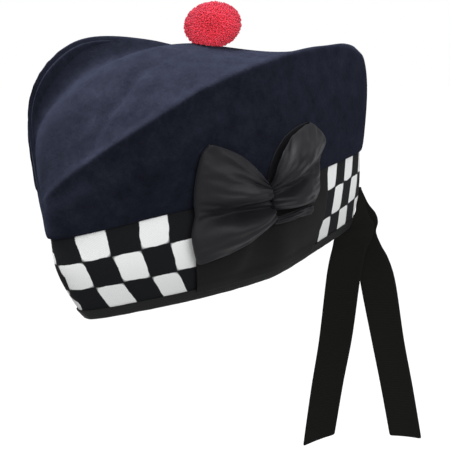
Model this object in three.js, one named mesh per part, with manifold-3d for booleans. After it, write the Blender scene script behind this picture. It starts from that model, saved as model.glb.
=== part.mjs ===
// A glengarry: a navy wool cap with a diced band, a black ribbon bow on the wearer's left,
// two ribbon tails at the back and a red toorie on the crown.
// Millimetres, +Z up, the front of the cap towards -Y and the wearer's left towards +X.
// The origin is the middle of the rim, where the cap sits on a head.
import * as THREE from "three";
import { mergeVertices } from "three/addons/utils/BufferGeometryUtils.js";
import Module from "manifold-3d";

const wasm = await Module();
wasm.setup();

// Driving dimensions
const pitch = THREE.MathUtils.degToRad(10.6); // the cap is worn with its front down
const gap = 0.3; // clearance between sewn pieces
const woolWall = 2.5;
const bandWall = 1.6;
const ribbonWall = 1.2;
const bindingHeight = 9.2; // how far the binding laps up each face of the band
const bindingFloor = 2.2; // the inside of the binding's fold
const hemRise = 70.7; // lower edge of the wool above the rim
const steps = 36; // facets along each side, from front to back
const tailWidth = 30;
const tailTurn = THREE.MathUtils.degToRad(30); // the tails face this far round from the left side

// The band's outer face, level by level: height, half width, and reach to the front and the back
const bandLevels = [
  { rise: 0, out: 41, fore: 121, aft: 124 },
  { rise: bindingHeight, out: 46.3, fore: 125.9, aft: 130 },
  { rise: 27.3, out: 56, fore: 131.8, aft: 137.5 },
  { rise: 48.9, out: 59.5, fore: 135.4, aft: 142 },
  { rise: hemRise, out: 59, fore: 133.4, aft: 144.4 },
  { rise: 75.5, out: 57.5, fore: 132, aft: 142.6 },
];
const rimSag = { place: 0.12, spread: 0.8, depth: 3 }; // the rim hangs lower beside the bow
const hemArch = { middle: 3, ends: -3.5 }; // the hem rises to the middle of the sides

// The plan is a lens, widest a little behind the middle, with a blunt front and a sharper back.
const widestPlace = -0.12;
const frontEnd = { power: 1.35, round: 1.0 };
const backEnd = { power: 1.25, round: 0.2 };

// The crown from front to back in equal turns of the plan, a row for each section.
// The left ridge is low at the front; the right one stands up there.
const leftRidge = [
  { along: 133.5, out: 0, rise: 95 },
  { along: 129, out: 8, rise: 101 },
  { along: 116, out: 19, rise: 111 },
  { along: 95, out: 35, rise: 123 },
  { along: 66, out: 55, rise: 138 },
  { along: 33, out: 64, rise: 151 },
  { along: -4, out: 63, rise: 158 },
  { along: -41, out: 55, rise: 161 },
  { along: -76, out: 42, rise: 161 },
  { along: -105, out: 28, rise: 159 },
  { along: -128, out: 18, rise: 156.5 },
  { along: -145, out: 9, rise: 152 },
  { along: -153.5, out: 0, rise: 148 },
];
const rightRidge = [
  { along: 133.5, out: 0, rise: 95 },
  { along: 130.5, out: 10, rise: 122 },
  { along: 123, out: 21, rise: 155 },
  { along: 103, out: 33, rise: 179 },
  { along: 72, out: 48, rise: 193 },
  { along: 38, out: 54, rise: 193 },
  { along: -2, out: 58, rise: 182.5 },
  { along: -40, out: 55, rise: 167 },
  { along: -76, out: 44, rise: 159.5 },
  { along: -105, out: 29, rise: 153.5 },
  { along: -128, out: 18, rise: 154 },
  { along: -145, out: 9, rise: 151.5 },
  { along: -153.5, out: 0, rise: 148 },
];
// The swell of the top between the ridges, the gully inside the right one, and how far the sides bulge
// at half height and just under the ridge.
const crownFolds = [
  { swell: 0, gully: 0, bulge: 0.5, brow: 0.5 },
  { swell: 0, gully: 5, bulge: 2, brow: 1 },
  { swell: -1, gully: 13, bulge: 3, brow: 1.2 },
  { swell: -2, gully: 18, bulge: 3, brow: 1.2 },
  { swell: -1, gully: 18, bulge: 3, brow: 1.2 },
  { swell: 3, gully: 15, bulge: 3, brow: 1.2 },
  { swell: 6, gully: 9, bulge: 3, brow: 1.2 },
  { swell: 4, gully: 2, bulge: 3, brow: 1.2 },
  { swell: -5, gully: 0, bulge: 3, brow: 1.2 },
  { swell: -10, gully: 0, bulge: 4, brow: 1.5 },
  { swell: -8, gully: 0, bulge: 4.5, brow: 2 },
  { swell: -3, gully: 0, bulge: 6, brow: 4 },
  { swell: 0, gully: 0, bulge: 8, brow: 7.5 },
];
const sideShares = { bulge: 0.5, brow: 0.9 }; // where the sides bulge, from the hem to the ridge
const topShares = { inside: 0.08, left: 0.3, middle: 0.6, gully: 0.93 }; // from the left ridge to the right
const ridgePoint = 3; // the left ridge is this guide point of a crown section
const spanFacets = [2, 2, 2, 2, 2, 3, 3, 2, 2, 2, 2]; // facets between the guide points of a crown section

// A function of the place from 0 at the front to 1 at the back that runs smoothly through a column.
function columnCurve(rows, column) {
  const places = rows.map((row, index) => index / (rows.length - 1));
  const values = rows.map((row) => row[column]);
  const curve = new THREE.CubicInterpolant(places, values, 1);
  return (place) => curve.evaluate(place)[0];
}

// Smooth columns of a whole table, called by name.
function tableCurves(rows) {
  return Object.fromEntries(Object.keys(rows[0]).map((column) => [column, columnCurve(rows, column)]));
}

const leftCurves = tableCurves(leftRidge);
const rightCurves = tableCurves(rightRidge);
const foldCurves = tableCurves(crownFolds);

// The value between two bounds where a test stops being true.
function bisect(low, high, test) {
  let [from, to] = [low, high];
  for (let i = 0; i < 16; i += 1) {
    const half = (from + to) / 2;
    if (test(half)) from = half;
    else to = half;
  }
  return from;
}

// Half width of the plan at a place along it, from 1 at the front to -1 at the back.
function planOut(out, place) {
  const ahead = place > widestPlace;
  const end = ahead ? frontEnd : backEnd;
  const reach = ahead
    ? (place - widestPlace) / (1 - widestPlace)
    : (widestPlace - place) / (1 + widestPlace);
  const lens = Math.max(0, 1 - reach ** end.power);
  return out * Math.sqrt((lens * (lens + 2 * end.round)) / (1 + 2 * end.round));
}

// The band's sizes at any height above the rim.
function bandLevelAt(rise) {
  const last = bandLevels.length - 1;
  let upper = bandLevels.findIndex((level) => level.rise >= rise);
  upper = upper < 0 ? last : Math.max(upper, 1);
  const low = bandLevels[upper - 1];
  const high = bandLevels[upper];
  const share = (rise - low.rise) / (high.rise - low.rise);
  const mix = (column) => THREE.MathUtils.lerp(low[column], high[column], share);
  return { rise, out: mix("out"), fore: mix("fore"), aft: mix("aft") };
}

// How far the band lies above its level at a place along it: it hangs at the rim and arches at the hem.
function bowedBy(place, rise) {
  const away = (place - rimSag.place) / rimSag.spread;
  const hang = rimSag.depth * Math.max(0, 1 - away * away) ** 2;
  const arch = THREE.MathUtils.lerp(hemArch.middle, hemArch.ends, place * place);
  const height = Math.min(1, rise / hemRise);
  return arch * height * height - hang * (1 - height) * (1 - height);
}

// One closed ring of the plan: down the left side from the front, then back up the right side.
function planRing(level) {
  const middle = (level.fore - level.aft) / 2;
  const reach = (level.fore + level.aft) / 2;
  const ring = [];
  for (let step = 0; step < 2 * steps; step += 1) {
    const place = Math.cos((Math.PI * step) / steps);
    const side = step <= steps ? 1 : -1;
    const out = step % steps === 0 ? 0 : planOut(level.out, place);
    const rise = level.rise + bowedBy(place, level.rise);
    ring.push(new THREE.Vector3(side * out, -(middle + reach * place), rise));
  }
  return ring;
}

// Outward directions of a ring, each long enough to keep its facets parallel when it is offset.
function ringNormals(ring) {
  return ring.map((point, index) => {
    const before = ring[(index + ring.length - 1) % ring.length];
    const after = ring[(index + 1) % ring.length];
    const edgeIn = point.clone().sub(before).setZ(0).normalize();
    const edgeOut = after.clone().sub(point).setZ(0).normalize();
    const normalIn = new THREE.Vector3(edgeIn.y, -edgeIn.x, 0);
    const normalOut = new THREE.Vector3(edgeOut.y, -edgeOut.x, 0);
    const spread = 1 + normalIn.dot(normalOut);
    return normalIn.add(normalOut).divideScalar(spread);
  });
}

function offsetRing(ring, distance) {
  const normals = ringNormals(ring);
  return ring.map((point, index) => point.clone().addScaledVector(normals[index], distance));
}

function ringAt(rise, distance) {
  return offsetRing(planRing(bandLevelAt(rise)), distance);
}

// A geometry from corner points and quads of point indices, without its collapsed triangles.
function quadGeometry(points, quads) {
  const geometry = new THREE.BufferGeometry();
  const coordinates = points.flatMap((point) => point.toArray());
  geometry.setAttribute("position", new THREE.Float32BufferAttribute(coordinates, 3));
  geometry.setIndex(quads.flatMap(([a, b, c, d]) => [a, b, c, a, c, d]));
  const merged = mergeVertices(geometry, 1e-3);
  const corners = merged.index.array;
  const kept = [];
  for (let i = 0; i < corners.length; i += 3) {
    const [a, b, c] = corners.slice(i, i + 3);
    if (a !== b && b !== c && c !== a) kept.push(a, b, c);
  }
  merged.setIndex(kept);
  return merged;
}

// A ring-shaped solid: each section is a closed loop of points, and the last section meets the first.
function hoopGeometry(sections) {
  const count = sections[0].length;
  const quads = [];
  for (let i = 0; i < sections.length; i += 1) {
    const next = (i + 1) % sections.length;
    for (let j = 0; j < count; j += 1) {
      const turn = (j + 1) % count;
      quads.push([i * count + j, next * count + j, next * count + turn, i * count + turn]);
    }
  }
  return quadGeometry(sections.flat(), quads);
}

// A walled sheet: a grid of outer points and the grid of inner points behind it, closed along the edges.
function sheetGeometry(outer, inner) {
  const rows = outer.length;
  const columns = outer[0].length;
  const behind = rows * columns;
  const quads = [];
  for (let i = 0; i + 1 < rows; i += 1) {
    for (let j = 0; j + 1 < columns; j += 1) {
      const a = i * columns + j;
      const b = a + columns;
      quads.push([a, a + 1, b + 1, b]);
      quads.push([behind + a, behind + b, behind + b + 1, behind + a + 1]);
    }
  }
  for (let i = 0; i + 1 < rows; i += 1) {
    const a = i * columns;
    const b = a + columns - 1;
    quads.push([a, a + columns, behind + a + columns, behind + a]);
    quads.push([b, behind + b, behind + b + columns, b + columns]);
  }
  for (let j = 0; j + 1 < columns; j += 1) {
    const a = j;
    const b = (rows - 1) * columns + j;
    quads.push([a, behind + a, behind + a + 1, a + 1]);
    quads.push([b, b + 1, behind + b + 1, behind + b]);
  }
  return quadGeometry([...outer.flat(), ...inner.flat()], quads);
}

function toManifold(geometry) {
  return new wasm.Manifold(
    new wasm.Mesh({
      numProp: 3,
      vertProperties: new Float32Array(geometry.getAttribute("position").array),
      triVerts: new Uint32Array(geometry.index.array),
    }),
  );
}

// Several closed geometries joined into one body.
function fuse(geometries) {
  return fromManifold(geometries.map(toManifold).reduce((whole, body) => whole.add(body)));
}

function fromManifold(body) {
  const mesh = body.getMesh();
  const geometry = new THREE.BufferGeometry();
  geometry.setAttribute("position", new THREE.BufferAttribute(mesh.vertProperties, 3));
  geometry.setIndex(new THREE.BufferAttribute(mesh.triVerts, 1));
  return geometry;
}

// A three.js primitive ready to be fused: its corner points shared and its seams closed.
function bareGeometry(geometry) {
  geometry.deleteAttribute("normal");
  geometry.deleteAttribute("uv");
  return mergeVertices(geometry, 1e-3);
}

function piece(name, geometry, color, roughness) {
  const material = new THREE.MeshStandardMaterial({ color, roughness, metalness: 0 });
  const mesh = new THREE.Mesh(geometry, material);
  mesh.name = name;
  return mesh;
}

// Crown: the wool shell

const hemOffset = gap + woolWall;
const hemRing = ringAt(hemRise, hemOffset);

// The hem at a place between two facets, on one side of the cap.
function hemPoint(place, side) {
  const level = bandLevelAt(hemRise);
  const turn = Math.cos(Math.PI * place);
  const out = planOut(level.out + hemOffset, turn);
  const middle = (level.fore - level.aft) / 2;
  const reach = (level.fore + level.aft) / 2 + hemOffset;
  return new THREE.Vector3(side * out, -(middle + reach * turn), hemRise + bowedBy(turn, hemRise));
}

// The level direction that points out of the hem at a place.
function hemDirection(place, side) {
  const around = (value) => {
    if (value < 0) return hemPoint(-value, -side);
    return value > 1 ? hemPoint(2 - value, -side) : hemPoint(value, side);
  };
  const ahead = around(place - 0.01);
  const behind = around(place + 0.01);
  return new THREE.Vector3(behind.y - ahead.y, ahead.x - behind.x, 0).multiplyScalar(side).normalize();
}

// The guide points of one section, from the left hem over both ridges to the right hem.
function crownSection(place) {
  const station = Math.round(place * steps);
  const onFacet = Math.abs(place * steps - station) < 1e-6;
  const hem = (side) => {
    if (!onFacet) return hemPoint(place, side);
    return hemRing[side > 0 ? station : (2 * steps - station) % (2 * steps)].clone();
  };
  const sideOf = (side, ridge) => {
    const foot = hem(side);
    const outward = hemDirection(place, side);
    const along = (share, out) => foot.clone().lerp(ridge, share).addScaledVector(outward, out);
    const shoulder = along(sideShares.bulge, foldCurves.bulge(place));
    const brow = along(sideShares.brow, foldCurves.brow(place));
    return [foot, shoulder, brow];
  };
  const ridgeAt = (side, curves) =>
    new THREE.Vector3(side * curves.out(place), -curves.along(place), curves.rise(place));
  const left = ridgeAt(1, leftCurves);
  const right = ridgeAt(-1, rightCurves);
  const swell = foldCurves.swell(place);
  const top = (share, lift) => left.clone().lerp(right, share).add(new THREE.Vector3(0, 0, lift));
  return [
    ...sideOf(1, left),
    left,
    top(topShares.inside, 0.2 * swell),
    top(topShares.left, 0.7 * swell),
    top(topShares.middle, swell),
    top(topShares.gully, 0.4 * swell - foldCurves.gully(place)),
    right,
    ...sideOf(-1, right).reverse(),
  ];
}

function crownCurve(place) {
  return new THREE.CatmullRomCurve3(crownSection(place), false, "centripetal");
}

// Points one wall inside a surface, set back along the mean of the facets that meet at each point.
function setBack(geometry, distance) {
  const points = geometry.getAttribute("position");
  const corners = geometry.index.array;
  const facets = Array.from({ length: points.count }, () => []);
  const corner = new THREE.Triangle();
  for (let i = 0; i < corners.length; i += 3) {
    corner.setFromAttributeAndIndices(points, corners[i], corners[i + 1], corners[i + 2]);
    const normal = corner.getNormal(new THREE.Vector3());
    for (let k = 0; k < 3; k += 1) facets[corners[i + k]].push(normal);
  }
  return facets.map((normals, index) => {
    const mean = normals.reduce((sum, normal) => sum.add(normal), new THREE.Vector3()).normalize();
    const slant = normals.reduce((sum, normal) => sum + normal.dot(mean), 0) / normals.length;
    const reach = distance / Math.max(slant, 0.6);
    return new THREE.Vector3().fromBufferAttribute(points, index).addScaledVector(mean, -reach);
  });
}

// The points of one section. At the front and back folds both sides meet on one line.
function crownLine(place) {
  const folded = place === 0 || place === 1;
  const upToRidge = crownSection(place).slice(0, ridgePoint + 1);
  const side = new THREE.CatmullRomCurve3(upToRidge, false, "centripetal");
  const curve = crownCurve(place);
  const spans = spanFacets.length;
  const line = [];
  spanFacets.forEach((facets, span) => {
    for (let k = 0; k < facets; k += 1) {
      const reach = span + k / facets;
      const upSide = Math.min(reach, spans - reach, ridgePoint) / ridgePoint;
      line.push(folded ? side.getPoint(upSide) : curve.getPoint(reach / spans));
    }
  });
  line.push(folded ? side.getPoint(0) : curve.getPoint(1));
  return line;
}

function crownGeometry() {
  const across = spanFacets.reduce((sum, facets) => sum + facets, 0);
  const grid = [];
  for (let step = 0; step <= steps; step += 1) grid.push(...crownLine(step / steps));
  const quads = [];
  for (let step = 0; step < steps; step += 1) {
    for (let j = 0; j < across; j += 1) {
      const a = step * (across + 1) + j;
      quads.push([a, a + across + 1, a + across + 2, a + 1]);
    }
  }
  const outside = quadGeometry(grid, quads);
  const inside = setBack(outside, woolWall);
  const count = inside.length;
  const points = [];
  for (let i = 0; i < count; i += 1) {
    points.push(new THREE.Vector3().fromBufferAttribute(outside.getAttribute("position"), i));
  }
  const corners = Array.from(outside.index.array);
  const edges = new Set();
  for (let i = 0; i < corners.length; i += 3) {
    for (let k = 0; k < 3; k += 1) edges.add(`${corners[i + k]} ${corners[i + ((k + 1) % 3)]}`);
  }
  const shell = [...corners];
  for (let i = 0; i < corners.length; i += 3) {
    shell.push(count + corners[i], count + corners[i + 2], count + corners[i + 1]);
  }
  for (const edge of edges) {
    const [a, b] = edge.split(" ").map(Number);
    if (edges.has(`${b} ${a}`)) continue;
    shell.push(b, a, count + a, b, count + a, count + b);
  }
  const geometry = new THREE.BufferGeometry();
  const coordinates = [...points, ...inside].flatMap((point) => point.toArray());
  geometry.setAttribute("position", new THREE.Float32BufferAttribute(coordinates, 3));
  geometry.setIndex(shell);
  return geometry;
}

// Diced band: a woven strip, its lower edge inside the binding and its top edge inside the hem

function bandGeometry() {
  const lowEdge = bindingFloor + gap;
  const rises = [lowEdge, ...bandLevels.slice(1).map((level) => level.rise)];
  const outside = rises.map((rise) => ringAt(rise, 0));
  const inside = rises.map((rise) => ringAt(rise, -bandWall));
  const sections = outside[0].map((point, index) => [
    ...outside.map((ring) => ring[index]),
    ...inside.map((ring) => ring[index]).reverse(),
  ]);
  return hoopGeometry(sections);
}

// Rim binding: a ribbon folded round the band's lower edge

function bindingGeometry() {
  const outer = gap + ribbonWall;
  const inner = -(bandWall + gap + ribbonWall);
  const loop = [
    { rise: bindingHeight, offset: gap },
    { rise: bindingHeight, offset: outer },
    { rise: ribbonWall, offset: outer },
    { rise: 0, offset: outer - ribbonWall },
    { rise: 0, offset: inner + ribbonWall },
    { rise: ribbonWall, offset: inner },
    { rise: bindingHeight, offset: inner },
    { rise: bindingHeight, offset: inner + ribbonWall },
    { rise: bindingFloor, offset: inner + ribbonWall },
    { rise: bindingFloor, offset: gap },
  ];
  const rings = loop.map(({ rise, offset }) => ringAt(rise, offset));
  const sections = rings[0].map((point, index) => rings.map((ring) => ring[index]).reverse());
  return hoopGeometry(sections);
}

// Bow: loops of ribbon gathered at one point on the left side

const bowMiddle = { along: -9, rise: 68 };
const bowClear = 0.8; // between the loops and the cap
const bowBase = 4; // the top of a loop over its underside, before it puffs
const gatherReach = 4; // how far from the middle the loops begin

// The left face of the cap, clear of the hem, at a distance ahead of the middle and a height.
function leftFace(along, rise) {
  if (rise <= hemRise) {
    const ring = ringAt(rise, hemOffset);
    const index = ring.findIndex((point) => -point.y <= along);
    const share = (-along - ring[index - 1].y) / (ring[index].y - ring[index - 1].y);
    return THREE.MathUtils.lerp(ring[index - 1].x, ring[index].x, share);
  }
  const sideEnd = ridgePoint / spanFacets.length;
  const pointAt = (place) => {
    const curve = crownCurve(place);
    const part = bisect(0, sideEnd, (value) => curve.getPoint(value).z < rise);
    return curve.getPoint(part);
  };
  return pointAt(bisect(0, 1, (place) => -pointAt(place).y > along)).x;
}

function onLeftFace(along, rise, lift) {
  return new THREE.Vector3(leftFace(along, rise) + lift, -along, rise);
}

// Each loop is a fan of pleats from the gather, one row a pleat: the angle of its folded end from straight
// ahead, how far the pleat has turned from there at the gather, the reach of its end, and its puff.
const frontLoop = [
  { angle: 49, turn: 26, reach: 61.5, puff: 3 },
  { angle: 41, turn: 24, reach: 62, puff: 10 },
  { angle: 30, turn: 22, reach: 58.5, puff: 14 },
  { angle: 17, turn: 18, reach: 56.5, puff: 15 },
  { angle: 3, turn: -4, reach: 54, puff: 3 },
  { angle: -15, turn: -10, reach: 61, puff: 14 },
  { angle: -31, turn: -34, reach: 68, puff: 4 },
];
const backLoop = [
  { angle: 198, turn: 8, reach: 48.5, puff: 5 },
  { angle: 185, turn: 6, reach: 50, puff: 12 },
  { angle: 172, turn: 2, reach: 56, puff: 5 },
  { angle: 159, turn: -10, reach: 68, puff: 15 },
  { angle: 148, turn: -26, reach: 67, puff: 12 },
  { angle: 139, turn: -42, reach: 64, puff: 5 },
];
const lowLoop = [
  { angle: 214, turn: 44, reach: 49, puff: 3 },
  { angle: 208, turn: 26, reach: 50, puff: 7 },
  { angle: 203, turn: 10, reach: 49, puff: 3 },
];
const pleatSteps = 2; // facets between two pleats
const loopRows = 5; // facets from the gather to the fold

function loopGeometry(pleats) {
  const at = tableCurves(pleats);
  const loopColumns = pleatSteps * (pleats.length - 1);
  const rings = [];
  for (let column = 0; column <= loopColumns; column += 1) {
    const share = column / loopColumns;
    const reach = at.reach(share);
    const puff = at.puff(share);
    const spot = (distance, lift) => {
      const toEnd = 1 - Math.min(1, distance / reach);
      const turned = at.angle(share) + at.turn(share) * Math.sin((Math.PI / 2) * toEnd);
      const angle = THREE.MathUtils.degToRad(turned);
      const along = bowMiddle.along + distance * Math.cos(angle);
      const rise = bowMiddle.rise + distance * Math.sin(angle);
      return onLeftFace(along, rise, lift);
    };
    const top = (part) => bowClear + bowBase + puff * Math.sin(Math.PI * (0.06 + 0.86 * part ** 0.8));
    const ring = (wall) => {
      const points = [];
      for (let row = 0; row <= loopRows; row += 1) {
        const part = row / loopRows;
        const inset = wall * (1 - 2 * part);
        points.push(spot(gatherReach + (reach - gatherReach) * part + inset, top(part) - wall));
      }
      for (let row = loopRows; row >= 0; row -= 1) {
        const part = row / loopRows;
        const inset = wall * (1 - 2 * part);
        points.push(spot(gatherReach + (reach - gatherReach) * part + inset, bowClear + wall));
      }
      return points;
    };
    rings.push({ outer: ring(0), inner: ring(ribbonWall) });
  }
  const count = rings[0].outer.length;
  const points = rings.flatMap((ring) => [...ring.outer, ...ring.inner]);
  const quads = [];
  for (let column = 0; column < loopColumns; column += 1) {
    const a = column * 2 * count;
    const b = a + 2 * count;
    for (let j = 0; j < count; j += 1) {
      const turn = (j + 1) % count;
      quads.push([a + j, a + turn, b + turn, b + j]);
      quads.push([a + count + j, b + count + j, b + count + turn, a + count + turn]);
    }
  }
  const last = loopColumns * 2 * count;
  for (let j = 0; j < count; j += 1) {
    const turn = (j + 1) % count;
    quads.push([j, count + j, count + turn, turn]);
    quads.push([last + j, last + turn, last + count + turn, last + count + j]);
  }
  return quadGeometry(points, quads);
}

function bowGeometry() {
  const gather = new THREE.SphereGeometry(1, 12, 8);
  gather.scale(4, 6, 7);
  const seat = onLeftFace(bowMiddle.along, bowMiddle.rise, bowClear + bowBase);
  gather.translate(seat.x, seat.y, seat.z);
  return fuse([frontLoop, backLoop, lowLoop].map(loopGeometry).concat(bareGeometry(gather)));
}

// Bow backing: a flat ribbon over the band and the binding, under the loops

// Each level has its edges, counted along the band's facets from the front.
const backingLap = 2.5; // off the band where it laps the binding
const backingSeat = 1.2; // off the band above that
const backingColumns = 11;
const backingLevels = [
  { rise: 4, offset: backingLap, first: 13.3, last: 23.2 },
  { rise: 9.8, offset: backingLap, first: 13.35, last: 23.4 },
  { rise: 14, offset: backingSeat, first: 13.4, last: 23.6 },
  { rise: 27.3, offset: backingSeat, first: 13.5, last: 23.9 },
  { rise: 48.9, offset: backingSeat, first: 13.7, last: 24.4 },
  { rise: 66, offset: backingSeat, first: 13.85, last: 24.5 },
];

function backingGeometry() {
  const onRing = (ring, place) => ring[Math.floor(place)].clone().lerp(ring[Math.ceil(place)], place % 1);
  const grid = (lift) =>
    backingLevels.map(({ rise, offset, first, last }) => {
      const ring = ringAt(rise, offset + lift);
      const line = [];
      for (let j = 0; j <= backingColumns; j += 1) {
        line.push(onRing(ring, THREE.MathUtils.lerp(first, last, j / backingColumns)));
      }
      return line;
    });
  return sheetGeometry(grid(ribbonWall), grid(0));
}

// Tails: two ribbon ends that hang from the back of the rim

// Each row is the middle of the ribbon and its width there, from the gathered top to the cut end.
const tailLeftRows = [
  { left: -1.6, back: 133.6, up: 56.5, width: 3.4 },
  { left: 1.8, back: 135.3, up: 42.6, width: 10.6 },
  { left: 3.6, back: 138, up: 33.8, width: 18 },
  { left: 4.2, back: 139, up: 25.7, width: 20.5 },
  { left: 2.8, back: 140.5, up: 16.3, width: 17.5 },
  { left: 4.2, back: 143, up: 4.5, width: 21.6 },
  { left: 6.7, back: 146, up: -8.1, width: 28 },
  { left: 10.8, back: 149, up: -29.7, width: tailWidth + 2 },
  { left: 17.7, back: 156.5, up: -80.6, width: tailWidth },
  { left: 25.5, back: 163, up: -125.3, width: tailWidth },
  { left: 33.3, back: 169.5, up: -173.5, width: tailWidth },
];
const tailRightRows = [
  { left: 0.4, back: 132.9, up: 57, width: 2.6 },
  { left: 5.4, back: 131.2, up: 43.5, width: 6.7 },
  { left: 9.6, back: 129.6, up: 32.4, width: 10.5 },
  { left: 12.4, back: 125.4, up: 22.5, width: 17.5 },
  { left: 12.8, back: 118.4, up: 14.7, width: 27 },
  { left: 10.2, back: 115.5, up: 6, width: tailWidth },
  { left: 9, back: 113, up: -7.3, width: tailWidth },
  { left: 6.6, back: 112, up: -26, width: tailWidth },
  { left: -0.9, back: 112, up: -78.5, width: tailWidth },
  { left: -10.9, back: 111.7, up: -128, width: tailWidth },
  { left: -20.3, back: 111, up: -185.5, width: tailWidth },
];
const tailSlants = { left: -4, right: 11.5 }; // how much higher the cut end is at the back edge

function tailGeometry(rows, slant) {
  const lengthSteps = 2 * (rows.length - 1);
  const acrossSteps = 2;
  const at = tableCurves(rows);
  const across = new THREE.Vector3(Math.sin(tailTurn), Math.cos(tailTurn), 0);
  const middleAt = (place) => new THREE.Vector3(at.left(place), at.back(place), at.up(place));
  const grid = (lift) => {
    const sheet = [];
    for (let i = 0; i <= lengthSteps; i += 1) {
      const place = i / lengthSteps;
      const ahead = middleAt(Math.min(1, place + 0.01)).sub(middleAt(Math.max(0, place - 0.01)));
      const normal = across.clone().cross(ahead).normalize();
      const line = [];
      for (let j = 0; j <= acrossSteps; j += 1) {
        const reach = (j / acrossSteps - 0.5) * at.width(place);
        const point = middleAt(place).addScaledVector(across, reach).addScaledVector(normal, lift);
        point.z += slant * (j / acrossSteps - 0.5) * place ** 6;
        line.push(point);
      }
      sheet.push(line);
    }
    return sheet;
  };
  return sheetGeometry(grid(ribbonWall / 2), grid(-ribbonWall / 2));
}

// Toorie: a pompom of yarn locks fused to a round head

const toorie = { along: -22.6, left: -2, rise: 188.5, radius: 21.5, height: 34, sink: 1 };
const lock = { count: 42, width: 6.6, length: 9, sides: 5 };

function toorieGeometry(crown) {
  const squash = toorie.height / (2 * toorie.radius);
  const goldenTurn = Math.PI * (3 - Math.sqrt(5));
  const head = new THREE.IcosahedronGeometry(toorie.radius - 5, 2);
  const forms = [head];
  for (let i = 0; i < lock.count; i += 1) {
    const height = 1 - (2 * (i + 0.5)) / lock.count;
    const around = Math.sqrt(1 - height * height);
    const turn = i * goldenTurn;
    const direction = new THREE.Vector3(Math.cos(turn) * around, Math.sin(turn) * around, height);
    const form = new THREE.CylinderGeometry(0.5 * lock.width, 0.75 * lock.width, lock.length, lock.sides, 1);
    form.translate(0, toorie.radius - lock.length / 2, 0);
    form.applyQuaternion(new THREE.Quaternion().setFromUnitVectors(new THREE.Vector3(0, 1, 0), direction));
    forms.push(form);
  }
  for (const form of forms) {
    form.scale(1, 1, squash);
    form.translate(toorie.left, -toorie.along, toorie.rise);
  }
  const ball = fuse(forms.map(bareGeometry));
  return seatOn(ball, crown);
}

// The top of the wool at a distance to the left of the middle and ahead of it.
function topFace(left, along) {
  const ridgeShare = ridgePoint / spanFacets.length;
  const pointAt = (place) => {
    const curve = crownCurve(place);
    return curve.getPoint(bisect(ridgeShare, 1 - ridgeShare, (part) => curve.getPoint(part).x > left));
  };
  return pointAt(bisect(0, 1, (place) => -pointAt(place).y > along));
}

// A form cut so that it follows the wool under it, with a small clearance.
function seatOn(ball, crown) {
  const seat = topFace(toorie.left, toorie.along);
  const ahead = topFace(toorie.left, toorie.along + 6).sub(topFace(toorie.left, toorie.along - 6));
  const aside = topFace(toorie.left + 6, toorie.along).sub(topFace(toorie.left - 6, toorie.along));
  const upward = ahead.cross(aside).normalize();
  upward.multiplyScalar(Math.sign(upward.z));
  const cut = toManifold(ball).trimByPlane(upward.toArray(), seat.dot(upward) - toorie.sink);
  return fromManifold(cut.subtract(toManifold(crown).translate(0, 0, gap + 0.1)));
}

const cap = new THREE.Group();
cap.rotation.x = pitch;
const crown = crownGeometry();
cap.add(piece("crown", crown, 0x1b2032, 0.95));
cap.add(piece("diced_band", bandGeometry(), 0xe9e8e4, 0.85));
cap.add(piece("rim_binding", bindingGeometry(), 0x101012, 0.7));
cap.add(piece("bow_backing", backingGeometry(), 0x141416, 0.6));
cap.add(piece("bow", bowGeometry(), 0x17171a, 0.55));
cap.add(piece("toorie", toorieGeometry(crown), 0xc4202c, 0.95));

const glengarry = new THREE.Group();
glengarry.add(cap);
glengarry.add(piece("tail_left", tailGeometry(tailLeftRows, tailSlants.left), 0x121213, 0.65));
glengarry.add(piece("tail_right", tailGeometry(tailRightRows, tailSlants.right), 0x121213, 0.65));

export default glengarry;
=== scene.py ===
import bpy
import bmesh
import math
import random
import numpy as np
from mathutils import Matrix, Vector, noise
from mathutils.bvhtree import BVHTree


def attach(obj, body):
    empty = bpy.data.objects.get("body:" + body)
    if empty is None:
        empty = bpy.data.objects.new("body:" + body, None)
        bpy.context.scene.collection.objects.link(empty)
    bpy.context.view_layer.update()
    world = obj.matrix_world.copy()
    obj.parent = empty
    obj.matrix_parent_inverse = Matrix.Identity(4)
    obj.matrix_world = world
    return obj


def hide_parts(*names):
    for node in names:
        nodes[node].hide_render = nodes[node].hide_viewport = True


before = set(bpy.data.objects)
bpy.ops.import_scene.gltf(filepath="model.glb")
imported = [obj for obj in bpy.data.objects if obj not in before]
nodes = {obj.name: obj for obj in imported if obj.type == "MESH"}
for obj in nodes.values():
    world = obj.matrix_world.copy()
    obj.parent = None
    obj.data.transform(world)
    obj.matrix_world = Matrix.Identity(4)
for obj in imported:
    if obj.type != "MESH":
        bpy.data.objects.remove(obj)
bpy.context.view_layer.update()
scene = bpy.context.scene
mm = 0.001
capPitch = 10.6  # degrees, the cap is worn with its front down
capTurn = Matrix.Rotation(math.radians(capPitch), 4, "X")
capUnturn = capTurn.inverted()
hemRise = 70.7  # lower edge of the wool above the rim
print("frame loaded:", ", ".join(sorted(nodes)))


# the cap's own frame in mm: left of the middle, back from it, up from the rim
def inCap(point):
    return (capUnturn @ point) / mm


def inWorld(left, back, rise):
    return capTurn @ (Vector((left, back, rise)) * mm)


def ease(low, high, value):
    part = min(1.0, max(0.0, (value - low) / (high - low)))
    return part * part * (3 - 2 * part)


# a smooth column of a table, from 0 at its first row to 1 at its last
def column(rows, name):
    values = [row[name] for row in rows]
    last = len(values) - 1

    def at(place):
        spot = min(max(place, 0.0), 1.0) * last
        index = min(int(spot), last - 1)
        part = spot - index
        a = values[max(index - 1, 0)]
        b, c = values[index], values[index + 1]
        d = values[min(index + 2, last)]
        bend = (2 * a - 5 * b + 4 * c - d) + part * (3 * b - a - 3 * c + d)
        return b + 0.5 * part * (c - a + part * bend)

    return at


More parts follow.
